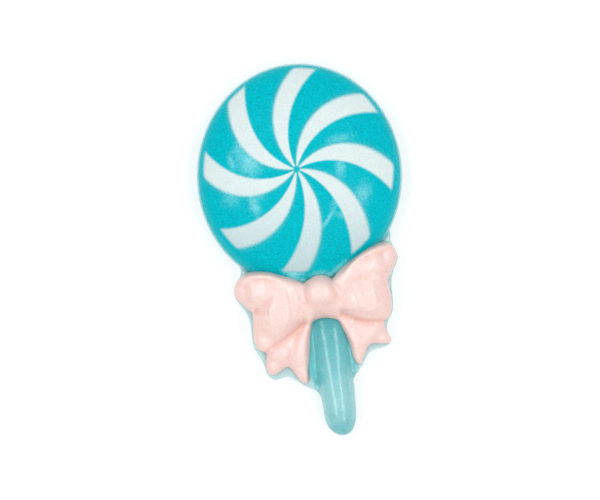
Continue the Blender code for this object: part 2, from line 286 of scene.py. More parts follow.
def castSurfaceGroup():
    tree, given, result = newGroup("castResin", (
        ("Wave Height", "Float"), ("Grain Height", "Float"), ("Cloud", "Float"), ("Speckle", "Float"),
        ("Roughness", "Float"), ("Colour", "Color"),
    ), (("Colour", "Color"), ("Roughness", "Float"), ("Normal", "Vector")))
    coords = objectCoords(tree)
    waves = noise(tree, coords, *surface["waves"])
    grain = noise(tree, coords, *surface["grain"])
    clouds = noise(tree, coords, *surface["clouds"])
    specks = noise(tree, coords, *surface["specks"])
    middle, share = surface["noiseMiddle"], surface["grainInClouds"]
    wavy = bump(tree, mathStep(tree, "MULTIPLY", waves, given["Wave Height"]))
    grainy = bump(tree, mathStep(tree, "MULTIPLY", grain, given["Grain Height"]), wavy)
    tree.links.new(grainy, result["Normal"])
    spread = surface["glossSpread"]
    uneven = mathStep(tree, "MULTIPLY_ADD", clouds, spread, -middle * spread)
    tree.links.new(mathStep(tree, "ADD", given["Roughness"], uneven), result["Roughness"])
    mottled = mathStep(tree, "MULTIPLY_ADD", grain, share, clouds)
    mottled = mathStep(tree, "SUBTRACT", mottled, middle * (1 + share))
    shade = mathStep(tree, "MULTIPLY_ADD", mottled, given["Cloud"], 1.0)
    speckled = mathStep(tree, "SUBTRACT", specks, middle)
    shade = mathStep(tree, "MULTIPLY_ADD", speckled, given["Speckle"], shade)
    scaled = vectorStep(tree, "SCALE", given["Colour"])
    tree.links.new(shade, scaled.inputs["Scale"])
    tree.links.new(scaled.outputs[0], result["Colour"])
    return tree


castSurface = castSurfaceGroup()


def coatWith(tree, shader, tone, values):
    node = tree.nodes.new("ShaderNodeGroup")
    node.node_tree = castSurface
    feed(tree, node.inputs["Colour"], tone)
    for label, value in values.items():
        feed(tree, node.inputs[label], value)
    tree.links.new(node.outputs["Colour"], shader.inputs["Base Color"])
    tree.links.new(node.outputs["Roughness"], shader.inputs["Roughness"])
    tree.links.new(node.outputs["Normal"], shader.inputs["Normal"])


print("helpers and shared surface ready")


# Candy disc: the dome of the teal casting, and the thin printed film that covers most of it

disc = {
    "halfWidth": 8.21 * mm,
    "halfLength": 8.98 * mm,
    "lean": math.radians(9.5),  # clockwise, seen from the shown side
    "wall": 1.3 * mm,
    "rise": 3.66 * mm,
    "fullness": 2.2,  # 2 is an ellipse; more is flatter on top and steeper at the rim
    "sides": 96,
    "rings": 22,
    "crown": 0.012,  # share of the radius that the last ring keeps
    "leastStep": 0.004,  # a ring nearer to the starting edge is left out
    "printEdge": 0.982,  # share of the radius that the print covers
    "filmDepth": 0.08 * mm,
    "filmAbove": 0.02 * mm,
}
disc["size"] = (disc["halfWidth"], disc["halfLength"], 1)
disc["reach"] = math.hypot(
    disc["halfLength"] * math.cos(disc["lean"]), disc["halfWidth"] * math.sin(disc["lean"])
)
disc["centre"] = Vector((0, castingHigh.y - disc["reach"], 0))


def domeHeight(share):
    return disc["wall"] + disc["rise"] * math.sqrt(max(0.0, 1 - share ** disc["fullness"]))


def raiseDome(startShare):  # extrudes the selected face ring by ring up to the crown
    shares = [math.sin(math.pi / 2 * (1 - i / disc["rings"])) for i in range(disc["rings"])]
    shares = [share for share in shares if share < startShare - disc["leastStep"]] + [disc["crown"]]
    now = startShare
    for share in shares:
        rise = domeHeight(share) - domeHeight(now)
        bpy.ops.mesh.extrude_region_move(TRANSFORM_OT_translate={"value": (0, 0, rise)})
        bpy.ops.transform.resize(value=(share / now, share / now, 1), center_override=(0, 0, 0))
        now = share


def placeDisc(obj):  # the round form becomes oval, leans and goes to its place
    bpy.ops.object.mode_set(mode="OBJECT")
    obj.scale = (disc["halfWidth"] / disc["halfLength"], 1, 1)
    obj.rotation_euler = (0, 0, -disc["lean"])
    obj.location = disc["centre"]
    bpy.ops.object.transform_apply(location=True, rotation=True, scale=True)


def modelDiscBody():
    body = newCircle("discBody", disc["sides"], disc["halfLength"])
    editAll(body)
    bpy.ops.mesh.extrude_region_move(TRANSFORM_OT_translate={"value": (0, 0, disc["wall"])})
    raiseDome(1.0)
    placeDisc(body)
    return body


def modelPrintedFilm():
    edge = disc["printEdge"]
    height = domeHeight(edge) + disc["filmAbove"]
    film = newCircle("printedSwirl", disc["sides"], disc["halfLength"] * edge, (0, 0, height))
    editAll(film)
    raiseDome(edge)
    faceOutwards(film)
    bpy.ops.object.mode_set(mode="EDIT")
    bpy.ops.mesh.select_mode(type="FACE")
    bpy.ops.mesh.select_all(action="DESELECT")
    bpy.ops.object.mode_set(mode="OBJECT")
    for face in film.data.polygons:  # the flat face that closes the dome from below is taken off
        face.select = face.normal.z < -0.9
    bpy.ops.object.mode_set(mode="EDIT")
    bpy.ops.mesh.delete(type="FACE")
    placeDisc(film)
    depth = film.modifiers.new("depth", "SOLIDIFY")
    depth.thickness = disc["filmDepth"]
    depth.offset = -1.0
    rounded = film.modifiers.new("rounded", "SUBSURF")
    rounded.levels = rounded.render_levels = 2
    applyAll(film)
    return film


# Swirl: eight white arms that turn clockwise towards the rim, on a turquoise field

swirl = {
    "arms": 8,
    "eyeOffset": (-0.152 * mm, 0.537 * mm),  # from the disc's middle to the swirl's eye
    "start": math.radians(7.26),  # where an arm begins, and how it turns and curls on its way out
    "turn": math.radians(36.15),
    "curl": math.radians(10.03),
    "swayAcross": math.radians(-2.01),  # slight unevenness from arm to arm
    "swayAlong": math.radians(-2.26),
    "halfWidth": math.radians(10.77),  # of an arm, as an angle, and how it changes on the way out
    "widthSlope": math.radians(1.22),
    "widthBend": math.radians(-5.70),
    "tipCentre": (0.009 * mm, 6.498 * mm, 0),  # the arms end on this oval
    "tipRadii": (7.55 * mm, 8.13 * mm, 1),
    "tipTurn": math.radians(-14.2),
    "tipFade": (0.98, 1.02),
    "eyeGap": (0.018, 0.045),  # the arms fade in between these distances from the eye
    "eyeEdge": 0.25,  # share of the edges' softness that is left at the eye
    "crispEdge": 0.20 * mm,
    "softEdge": 0.30 * mm,
    "fringeReach": 2.5,  # in soft edges
    "fringeShare": 0.45,
    "turquoise": colour(0, 185, 199),
    # painted shade: darker copy for the lower part of the disc
    "turquoiseShadedLow": colour(0, 184, 197),
    "white": colour(219, 233, 233),
    # painted shade: darker copy for the lower part of the disc
    "whiteShadedLow": colour(187, 212, 215),
    "fringe": colour(60, 180, 188),
    "rim": colour(48, 190, 201),
    "rimFade": (0.935, 0.985),
    "rimNoise": (1500.0, 3.0),
    "rimUneven": 0.02,
    "printCentre": (0, 6.14 * mm, 0),
    "speckle": (0.95, 0.26),  # on the turquoise and on the white
    "surface": {"Wave Height": 0.035, "Grain Height": 0.0022, "Cloud": 0.10, "Roughness": 0.36},
    "shader": {"Specular IOR Level": 0.04},
    "paintedReflectionColour": colour(150, 230, 238),
    "paintedReflectionNoise": (1900.0, 5.0, 0.75),
    "paintedReflectionBroken": 1.5,  # how far the noise eats into a patch
    "paintedReflectionFade": (2.0, 0.7),
    "paintedReflections": (  # pale patches of painted reflection of the lamps in the dome, and painted light over the shade along the bow's edge: x, y, turn in degrees, half width, half length, strength
        (-3.75, 7.75, 12, 1.15, 1.35, 0.60), (-4.30, 9.10, -35, 0.60, 1.10, 0.45),
        (-5.15, 7.95, 8, 0.35, 0.95, 0.40), (-5.65, 5.30, 0, 0.95, 1.05, 0.26),
        (-3.95, 4.35, 10, 0.50, 1.25, 0.55), (-3.60, 5.10, 60, 0.45, 0.90, 0.25),
        (3.60, 8.35, 5, 1.35, 0.45, 0.32), (3.30, 6.10, -8, 0.50, 1.15, 0.42),
        (4.70, 3.75, -25, 0.75, 1.10, 0.45), (2.55, 3.60, -40, 0.35, 0.95, 0.35),
        (1.75, 2.35, -43, 0.22, 1.60, 0.55), (2.70, 2.30, 60, 0.30, 0.80, 0.30),
        (-1.90, -1.75, 50, 0.30, 1.20, 0.65), (0.10, -1.95, 90, 0.32, 1.00, 0.55),
        (1.80, -1.75, -59, 0.30, 1.20, 0.55), (-1.28, -2.30, 0, 0.50, 0.40, 0.90),
        (0.98, -2.25, 0, 0.50, 0.40, 0.90), (-1.67, -1.62, 74, 0.16, 0.95, 0.80),
    ),
}


def paintedReflectionGroup():  # one soft patch of painted reflection and light, with a broken edge
    places = ("Location", "Rotation", "Scale")
    takes = [("Vector", "Vector"), *((label, "Vector") for label in places), ("Strength", "Float")]
    tree, given, result = newGroup("paintedReflectionPatch", takes, (("Mask", "Float"),))
    own = tree.nodes.new("ShaderNodeMapping")
    own.vector_type = "TEXTURE"
    for label in ("Vector", *places):
        tree.links.new(given[label], own.inputs[label])
    broken = noise(tree, objectCoords(tree), *swirl["paintedReflectionNoise"])
    away = lengthOf(tree, own.outputs["Vector"])
    edge = mathStep(tree, "MULTIPLY_ADD", broken, swirl["paintedReflectionBroken"], away)
    mask = mathStep(tree, "MULTIPLY", fade(tree, edge, *swirl["paintedReflectionFade"]), given["Strength"])
    tree.links.new(mask, result["Mask"])
    return tree


def paintedReflectionMask(tree, plan):  # the strongest of all painted reflection patches
    patch = paintedReflectionGroup()
    mask = 0.0
    for x, y, turn, halfWidth, halfLength, strength in swirl["paintedReflections"]:
        node = tree.nodes.new("ShaderNodeGroup")
        node.node_tree = patch
        tree.links.new(plan, node.inputs["Vector"])
        node.inputs["Location"].default_value = (x * mm, y * mm, 0)
        node.inputs["Rotation"].default_value = (0, 0, math.radians(turn))
        node.inputs["Scale"].default_value = (halfWidth * mm, halfLength * mm, 1)
        node.inputs["Strength"].default_value = strength
        mask = mathStep(tree, "MAXIMUM", node.outputs["Mask"], mask)
    return mask


def aroundEye(tree, axes, fromDisc):  # distance from the eye, and angle from the nearest arm's middle
    offset = Matrix.Rotation(disc["lean"], 2) @ Vector(swirl["eyeOffset"])
    inward = mathStep(tree, "SUBTRACT", 1.0, fromDisc)
    across = mathStep(tree, "MULTIPLY_ADD", inward, -offset.x / disc["halfWidth"], axes["X"])
    along = mathStep(tree, "MULTIPLY_ADD", inward, -offset.y / disc["halfLength"], axes["Y"])
    squared = mathStep(tree, "MULTIPLY_ADD", across, across, mathStep(tree, "MULTIPLY", along, along))
    fromEye = mathStep(tree, "SQRT", squared)
    angle = mathStep(tree, "ARCTAN2", across, along)
    middle = polynomial(tree, fromEye, swirl["start"], swirl["turn"], swirl["curl"])
    swayed = mathStep(tree, "ADD", mathStep(tree, "MULTIPLY", across, swirl["swayAcross"]),
                      mathStep(tree, "MULTIPLY", along, swirl["swayAlong"]))
    middle = mathStep(tree, "ADD", middle, mathStep(tree, "DIVIDE", swayed, fromEye))
    sector = math.pi / swirl["arms"]
    phase = mathStep(tree, "WRAP", mathStep(tree, "SUBTRACT", angle, middle), sector, -sector)
    return fromEye, phase


def beyondArm(tree, fromEye, phase):  # distance past the nearest arm's leading edge and its trailing edge
    half = polynomial(tree, fromEye, swirl["halfWidth"], swirl["widthSlope"], swirl["widthBend"])
    reach = mathStep(tree, "MULTIPLY", fromEye, 0.5 * (disc["halfWidth"] + disc["halfLength"]))
    sharper = mathStep(tree, "MULTIPLY_ADD", fromEye, 1 - swirl["eyeEdge"], swirl["eyeEdge"])
    reach = mathStep(tree, "DIVIDE", reach, sharper)
    ahead = mathStep(tree, "MULTIPLY", mathStep(tree, "SUBTRACT", phase, half), reach)
    behind = mathStep(tree, "SUBTRACT", mathStep(tree, "MULTIPLY", phase, -1.0), half)
    return ahead, mathStep(tree, "MULTIPLY", behind, reach)


def swirlColour(tree):  # the print's colour, and a mask that is 1 on the arms
    coords = objectCoords(tree)
    flat = vectorStep(tree, "MULTIPLY", coords)
    flat.inputs[1].default_value = (1, 1, 0)
    plan = flat.outputs[0]
    discSpace = placed(tree, plan, disc["centre"], -disc["lean"], disc["size"])
    axes = axesOf(tree, discSpace)
    fromEye, phase = aroundEye(tree, axes, lengthOf(tree, discSpace))
    ahead, behind = beyondArm(tree, fromEye, phase)
    crisp, soft = swirl["crispEdge"], swirl["softEdge"]
    inFront = fade(tree, ahead, -crisp, crisp, 1.0, 0.0)
    inBack = fade(tree, behind, -soft, soft, 1.0, 0.0)
    tipSpace = placed(tree, plan, swirl["tipCentre"], swirl["tipTurn"], swirl["tipRadii"])
    inTip = fade(tree, lengthOf(tree, tipSpace), *swirl["tipFade"], 1.0, 0.0)
    whole = mathStep(tree, "MULTIPLY", inTip, fade(tree, fromEye, *swirl["eyeGap"]))
    arm = mathStep(tree, "MULTIPLY", mathStep(tree, "MULTIPLY", inFront, inBack), whole)

    printSpace = placed(tree, plan, swirl["printCentre"], -disc["lean"], disc["size"])
    worn = noise(tree, coords, *swirl["rimNoise"])
    outward = mathStep(tree, "MULTIPLY_ADD", worn, swirl["rimUneven"], lengthOf(tree, printSpace))
    rim = fade(tree, outward, *swirl["rimFade"])
    # painted shade: the print grows darker towards the bow's end of the disc
    low = fade(tree, axes["Y"], 0.0, -1.0)
    field = blendColours(tree, low, swirl["turquoise"], swirl["turquoiseShadedLow"])
    ground = blendColours(tree, rim, field, swirl["rim"])
    fadingOut = fade(tree, behind, soft, swirl["fringeReach"] * soft, swirl["fringeShare"], 0.0)
    fringe = mathStep(tree, "MULTIPLY", fade(tree, behind, 0.0, soft), fadingOut)
    ground = blendColours(tree, mathStep(tree, "MULTIPLY", fringe, whole), ground, swirl["fringe"])
    # painted reflections of the lamps, and painted light over the shade by the bow, laid over the print
    ground = blendColours(tree, paintedReflectionMask(tree, plan), ground, swirl["paintedReflectionColour"])
    white = blendColours(tree, low, swirl["white"], swirl["whiteShadedLow"])
    return blendColours(tree, arm, ground, white), arm


def printMaterial():
    material, tree, shader = newMaterial("printedSwirlFinish", swirl["shader"])
    tone, arm = swirlColour(tree)
    onField, onArm = swirl["speckle"]
    speckle = mathStep(tree, "MULTIPLY_ADD", arm, onArm - onField, onField)
    coatWith(tree, shader, tone, {**swirl["surface"], "Speckle": speckle})
    return material


# Teal casting: disc, stick and the plate behind the bow, run together as one body

resin = {
    "voxel": 0.11 * mm,
    "softening": 6,
    "plateTop": 1.49 * mm,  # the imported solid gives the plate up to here
    "tones": (  # along the stick: y in mm and colour. The deep teal near the bow is partly thicker resin and partly painted shade under the bow, the pale middle is partly painted light shining through the thin resin, and the darker rounded tip is painted shade
        (-14.5, colour(108, 187, 192)), (-13.6, colour(136, 201, 206)), (-12.0, colour(149, 208, 211)),
        (-10.9, colour(145, 206, 210)), (-9.6, colour(120, 195, 200)), (-7.6, colour(98, 185, 190)),
        (-6.4, colour(82, 177, 183)),
    ),
    "toneNoise": 900.0,
    "toneUneven": 0.4 * mm,
    # the web's deep teal between the tails: partly thicker resin, partly painted shade under the bow
    "web": colour(96, 194, 200),
    # partly the thin resin's own paler colour, partly painted light over the shade under the bow's edge and
    # beside the disc
    "thinResinAndLight": colour(186, 218, 220),
    "rim": colour(62, 192, 202),
    "leftWeb": ((-0.70, -1.15), (-10.9, -10.6)),  # each colour's limits across and along, in mm
    "rightWeb": ((0.85, 1.25), (-10.2, -9.2)),
    "rightWebShare": 0.6,
    "paleBelow": (1.75, 1.55),
    "paleBeside": (1.6, 1.9),
    "discFrom": (-2.2, -1.2),
    "pastDisc": (0.98, 1.02),  # in shares of the disc's radius
    "pastDiscBelow": (0.8, -0.2),
    "stickGloss": ((-6.0, -6.8), 0.6),  # where along the piece the clear gloss begins, and how strong it is
    "discGloss": ((-4.5, -3.5), 0.5),
    "surface": {
        "Wave Height": 0.07, "Grain Height": 0.003, "Cloud": 0.16, "Speckle": 0.35, "Roughness": 0.26,
    },
    "shader": {
        "Coat Roughness": 0.19, "Subsurface Weight": 0.5, "Subsurface Radius": (0.6, 1.0, 1.0),
        "Subsurface Scale": 0.8 * mm,
    },
}
stick = {
    "stations": (  # y, middle, half widths to the left and right, height of the crown, in mm
        (-3.0, 0.10, 1.60, 1.60, 2.00), (-5.2, 0.12, 1.60, 1.60, 2.02), (-6.4, 0.13, 1.60, 1.60, 2.38),
        (-7.6, 0.14, 1.60, 1.60, 2.50), (-9.2, 0.06, 1.56, 1.50, 2.54), (-10.6, 0.0, 1.42, 1.41, 2.58),
        (-11.4, 0.0, 1.39, 1.37, 2.58), (-12.2, 0.0, 1.37, 1.31, 2.56), (-13.2, -0.05, 1.28, 1.20, 2.50),
        (-13.9, -0.05, 1.18, 1.02, 2.36), (-14.4, -0.05, 1.00, 0.80, 2.14),
        (-14.75, -0.05, 0.72, 0.56, 1.85), (-14.93, -0.05, 0.38, 0.32, 1.60),
    ),
    "sides": 32,
    "edge": 1.2,  # height of the widest place
    "edgeShare": 0.6,  # of the crown, at most
    "undercut": 3,  # how steeply the sides go down below that place
    "web": ((-3.6, -1.5, 1.5), (-8.2, -2.1, 2.1), (-10.25, -2.05, 1.85)),  # y, left, right
    "webFoot": 0.2 * mm,
    "webLevel": 1.92 * mm,
    "webDip": 0.25 * mm,  # how far the web sinks towards the stick's tip
}


def modelStick():  # a round-topped bar, extruded from station to station along -Y
    stations = stick["stations"]
    bar = newCircle(
        "stickBody", stick["sides"], 1.0 * mm, (0, stations[0][0] * mm, 0), (math.radians(90), 0, 0)
    )
    editAll(bar)
    for before, after in zip(stations, stations[1:]):
        step = (after[0] - before[0]) * mm
        bpy.ops.mesh.extrude_region_move(TRANSFORM_OT_translate={"value": (0, step, 0)})
    faceOutwards(bar)
    for vert in bar.data.vertices:  # each ring takes its station's section
        y, middle, left, right, crown = min(stations, key=lambda s: abs(s[0] * mm - vert.co.y))
        side, up = vert.co.x / mm, vert.co.z / mm
        edge = min(stick["edge"], crown * stick["edgeShare"])
        vert.co.x = (middle + side * (right if side > 0 else left)) * mm
        if up > 0:
            vert.co.z = (edge + (crown - edge) * up) * mm
        else:
            vert.co.z = max(0.0, edge * (1 + stick["undercut"] * up)) * mm
    return bar


def modelWeb():  # the raised resin that fills the wedge between the bow's tails
    deselectAll()
    bpy.ops.mesh.primitive_plane_add(size=1.0 * mm, location=(0, 0, stick["webFoot"]))
    web = bpy.context.object
    web.name = "webBody"
    bpy.ops.object.transform_apply(location=True)
    (topY, topLeft, topRight), (midY, midLeft, midRight), (lowY, lowLeft, lowRight) = stick["web"]
    for vert in web.data.vertices:
        left = vert.co.x < 0
        if vert.co.y > 0:
            vert.co.x, vert.co.y = (topLeft if left else topRight) * mm, topY * mm
        else:
            vert.co.x, vert.co.y = (midLeft if left else midRight) * mm, midY * mm
    selectVerts(web, lambda vert: abs(vert.co.y - midY * mm) < 0.01 * mm)
    bpy.ops.mesh.extrude_region_move(TRANSFORM_OT_translate={"value": (0, (lowY - midY) * mm, 0)})
    narrowing = (lowRight - lowLeft) / (midRight - midLeft)
    bpy.ops.transform.resize(value=(narrowing, 1, 1), center_override=(0, 0, 0))
    bpy.ops.mesh.select_all(action="SELECT")
    height = stick["webLevel"] - stick["webFoot"]
    bpy.ops.mesh.extrude_region_move(TRANSFORM_OT_translate={"value": (0, 0, height)})
    faceOutwards(web)
    selectVerts(web, lambda vert: vert.co.y < (lowY + 0.01) * mm and vert.co.z > mm)
    bpy.ops.transform.translate(value=(0, 0, -stick["webDip"]))
    bpy.ops.object.mode_set(mode="OBJECT")
    return web


def modelCasting():
    plate = copyOfNode("teal_casting", "castingBody")
    editAll(plate)
    bpy.ops.mesh.bisect(
        plane_co=(0, 0, resin["plateTop"]), plane_no=(0, 0, 1), use_fill=True, clear_outer=True
    )
    bpy.ops.object.mode_set(mode="OBJECT")
    joinInto(plate, [modelDiscBody(), modelStick(), modelWeb()])
    remeshAndSoften(plate, resin["voxel"], resin["softening"])
    return plate


def stickTone(tree, along):  # a colour ramp over y
    ramp = tree.nodes.new("ShaderNodeValToRGB")
    stops = ramp.color_ramp.elements
    first, last = resin["tones"][0][0], resin["tones"][-1][0]
    for number, (y, tone) in enumerate(resin["tones"]):
        stop = stops[number] if number < 2 else stops.new(1.0)
        stop.position = (y - first) / (last - first)
        stop.color = tone
    share = tree.nodes.new("ShaderNodeMapRange")
    tree.links.new(along, share.inputs["Value"])
    share.inputs["From Min"].default_value = first * mm
    share.inputs["From Max"].default_value = last * mm
    tree.links.new(share.outputs["Result"], ramp.inputs["Fac"])
    return ramp.outputs["Color"]


def resinMaterial():
    material, tree, shader = newMaterial("milkyTealResin", resin["shader"])
    coords = objectCoords(tree)
    axes = axesOf(tree, coords)
    x, y, z = axes["X"], axes["Y"], axes["Z"]
    uneven = noise(tree, coords, resin["toneNoise"])
    # the ramp holds painted shade near the bow and at the tip, and painted light through the thin resin
    tone = stickTone(tree, mathStep(tree, "MULTIPLY_ADD", uneven, resin["toneUneven"], y))
    across, along = resin["leftWeb"]
    leftWeb = mathStep(tree, "MULTIPLY", fadeMm(tree, x, across), fadeMm(tree, y, along))
    across, along = resin["rightWeb"]
    rightWeb = mathStep(
        tree, "MULTIPLY", fadeMm(tree, x, across, 0.0, resin["rightWebShare"]), fadeMm(tree, y, along)
    )
    tone = blendColours(tree, mathStep(tree, "MAXIMUM", leftWeb, rightWeb), tone, resin["web"])
    # the plate that shows round the bow: partly thin resin, partly painted light over the shade under the
    # bow's edge
    beside = fadeMm(tree, mathStep(tree, "ABSOLUTE", x), resin["paleBeside"])
    thinResinAndLight = mathStep(tree, "MULTIPLY", fadeMm(tree, z, resin["paleBelow"]), beside)
    tone = blendColours(tree, thinResinAndLight, tone, resin["thinResinAndLight"])
    # paler past the disc's edge: partly thin resin, partly painted light over the shade in the valley
    # beside the bow
    fromDisc = lengthOf(tree, placed(tree, coords, disc["centre"], -disc["lean"], disc["size"]))
    below = fadeMm(tree, y, resin["pastDiscBelow"])
    outside = mathStep(tree, "MULTIPLY", fade(tree, fromDisc, *resin["pastDisc"]), below)
    discTone = blendColours(tree, outside, resin["rim"], resin["thinResinAndLight"])
    tone = blendColours(tree, fadeMm(tree, y, resin["discFrom"]), tone, discTone)
    coatWith(tree, shader, tone, resin["surface"])
    (stickSpan, stickWeight), (discSpan, discWeight) = resin["stickGloss"], resin["discGloss"]
    glossy = mathStep(tree, "MAXIMUM", fadeMm(tree, y, stickSpan, 0.0, stickWeight),
                      fadeMm(tree, y, discSpan, 0.0, discWeight))
    tree.links.new(glossy, shader.inputs["Coat Weight"])
    return material


casting = modelCasting()
finishPiece(casting, resinMaterial(), "teal_casting")
print("teal casting ready:", len(casting.data.polygons), "faces")
film = modelPrintedFilm()
finishPiece(film, printMaterial(), "teal_casting")
print("printed swirl ready:", len(film.data.polygons), "faces")


# Bow: the second casting, soft folds of opaque pink resin

